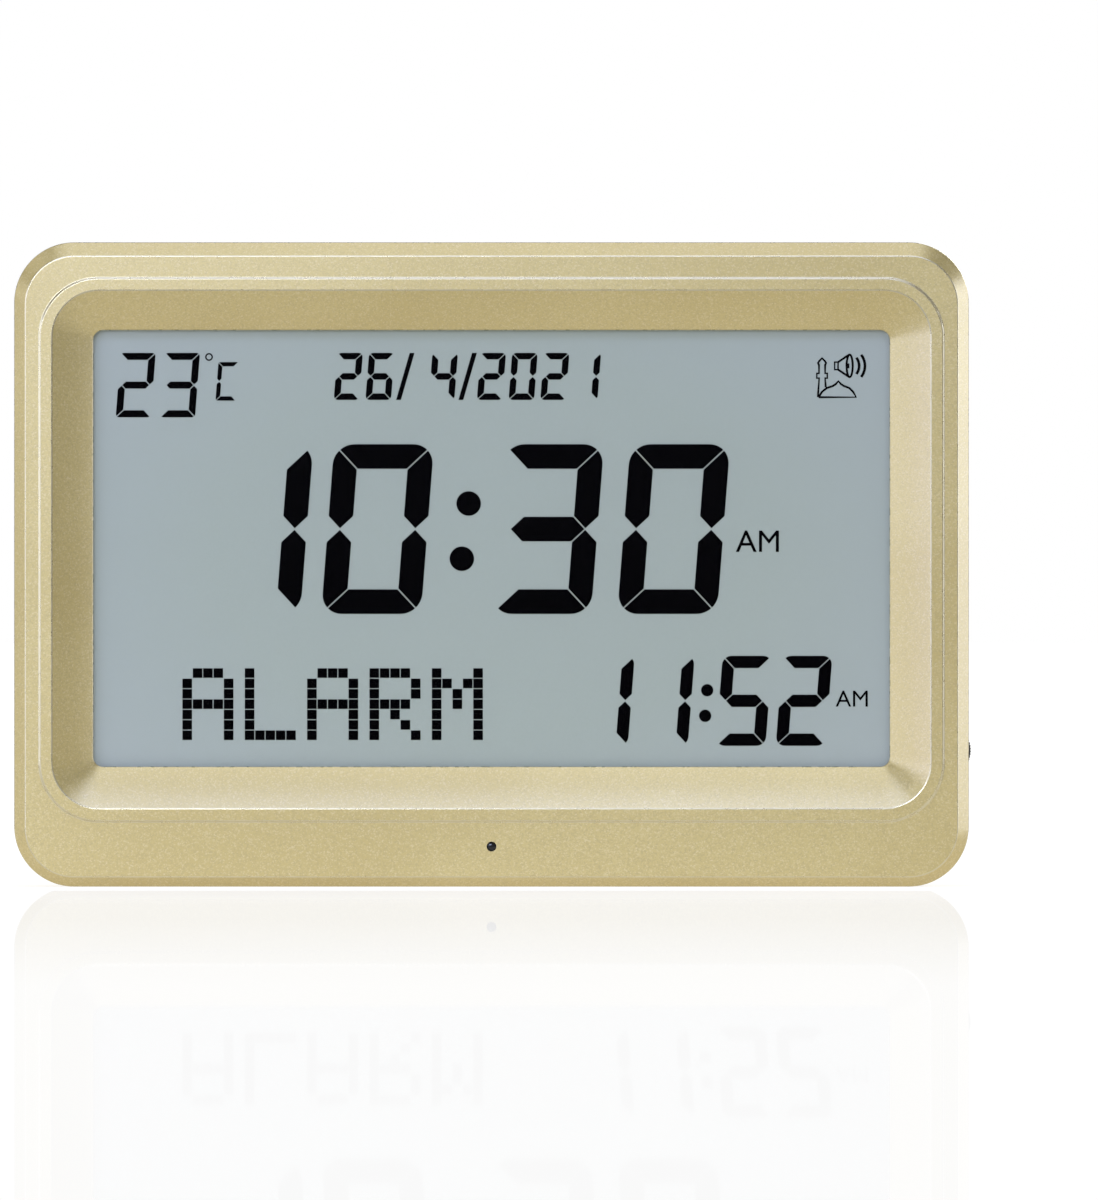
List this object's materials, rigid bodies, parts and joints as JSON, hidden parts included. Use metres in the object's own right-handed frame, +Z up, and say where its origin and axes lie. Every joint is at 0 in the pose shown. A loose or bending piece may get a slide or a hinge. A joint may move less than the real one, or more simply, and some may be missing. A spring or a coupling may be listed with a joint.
{
  "type": "azan clock",
  "caption": "Digital azan clock: wide segment display in a dished gold bezel, rear battery hatch, speaker grille, keys, side volume wheel and fold-out stand.",
  "frame": {"origin": "middle of the flat base, on the plane that the clock stands on, halfway across its width and halfway between its front and rear faces", "axes": "+X to the viewer's right when facing the display, +Y from the display towards the rear, +Z up"},
  "size_m": [0.2809, 0.0372, 0.189],
  "materials": {
    "gold_paint": "satin metallic gold paint on ABS",
    "clear_plastic": "clear polished PMMA",
    "display_glass": "matt polariser, blue grey",
    "white_plastic": "moulded white",
    "black_plastic": "moulded black",
    "grey_plastic": "moulded grey",
    "circuit_board": "green solder mask",
    "rubber": "matt",
    "steel": "plated",
    "cell_jacket": "plain printed film",
    "ferrite": "sintered ferrite",
    "cone_paper": "coated paper"
  },
  "bodies": {
    "clock": {"battery_1": "cell_jacket", "battery_2": "cell_jacket", "battery_3": "cell_jacket", "capacitor_1": "black_plastic", "capacitor_2": "black_plastic", "case_screw_1": "steel", "case_screw_2": "steel", "case_screw_3": "steel", "case_screw_4": "steel", "case_screw_5": "steel", "case_screw_6": "steel", "contact_plate_1": "steel", "contact_plate_2": "steel", "contact_plate_3": "steel", "contact_spring_1": "steel", "contact_spring_2": "steel", "contact_spring_3": "steel", "control_chip": "black_plastic", "crystal_can": "steel", "display_lens": "clear_plastic", "elastomer_strip_lower": "rubber", "elastomer_strip_upper": "rubber", "front_bezel": "gold_paint", "key_board": "circuit_board", "key_switch_1": "black_plastic", "key_switch_2": "black_plastic", "key_switch_3": "black_plastic", "key_switch_4": "black_plastic", "key_switch_5": "black_plastic", "lamp_strip": "white_plastic", "lcd_front_glass": "display_glass", "lcd_holder": "white_plastic", "lcd_rear_glass": "display_glass", "light_guide": "clear_plastic", "light_sensor": "black_plastic", "main_board": "circuit_board", "rear_cover": "gold_paint", "reflector_sheet": "white_plastic", "speaker_basket": "steel", "speaker_cone": "cone_paper", "speaker_dust_cap": "cone_paper", "speaker_gasket": "rubber", "speaker_magnet": "ferrite", "stand_pin": "steel", "temperature_probe": "black_plastic", "voice_chip": "black_plastic", "volume_board": "circuit_board", "volume_pot": "grey_plastic"},
    "stand": {"stand_foot": "black_plastic"},
    "hatch": {"battery_hatch": "gold_paint"},
    "wheel": {"volume_wheel": "black_plastic"},
    "key_1": {"key_cap_1": "black_plastic"},
    "key_2": {"key_cap_2": "black_plastic"},
    "key_3": {"key_cap_3": "black_plastic"},
    "key_4": {"key_cap_4": "black_plastic"},
    "key_5": {"key_cap_5": "black_plastic"}
  },
  "joints": [
    {"name": "stand_hinge", "type": "hinge", "parent": "clock", "child": "stand", "pos_m": [0, 0.0169, 0.01], "axis": [-1, 0, 0], "range_deg": [0, 99]},
    {"name": "hatch_hinge", "type": "hinge", "parent": "clock", "child": "hatch", "pos_m": [-0.07095, 0.0186, 0.09085], "axis": [-1, 0, 0], "range_deg": [0, 60]},
    {"name": "volume_spin", "type": "hinge", "parent": "clock", "child": "wheel", "pos_m": [0.1329, 0.0024, 0.0399], "axis": [0, -1, 0], "range_deg": [-140, 140]},
    {"name": "key_1_press", "type": "slide", "parent": "clock", "child": "key_1", "axis": [0, -1, 0], "range_m": [0, 0.0005], "stiffness_N_per_m": 1500, "springref_m": -0.0003},
    {"name": "key_2_press", "type": "slide", "parent": "clock", "child": "key_2", "axis": [0, -1, 0], "range_m": [0, 0.0005], "stiffness_N_per_m": 1500, "springref_m": -0.0003},
    {"name": "key_3_press", "type": "slide", "parent": "clock", "child": "key_3", "axis": [0, -1, 0], "range_m": [0, 0.0005], "stiffness_N_per_m": 1500, "springref_m": -0.0003},
    {"name": "key_4_press", "type": "slide", "parent": "clock", "child": "key_4", "axis": [0, -1, 0], "range_m": [0, 0.0005], "stiffness_N_per_m": 1500, "springref_m": -0.0003},
    {"name": "key_5_press", "type": "slide", "parent": "clock", "child": "key_5", "axis": [0, -1, 0], "range_m": [0, 0.0005], "stiffness_N_per_m": 1500, "springref_m": -0.0003}
  ]
}
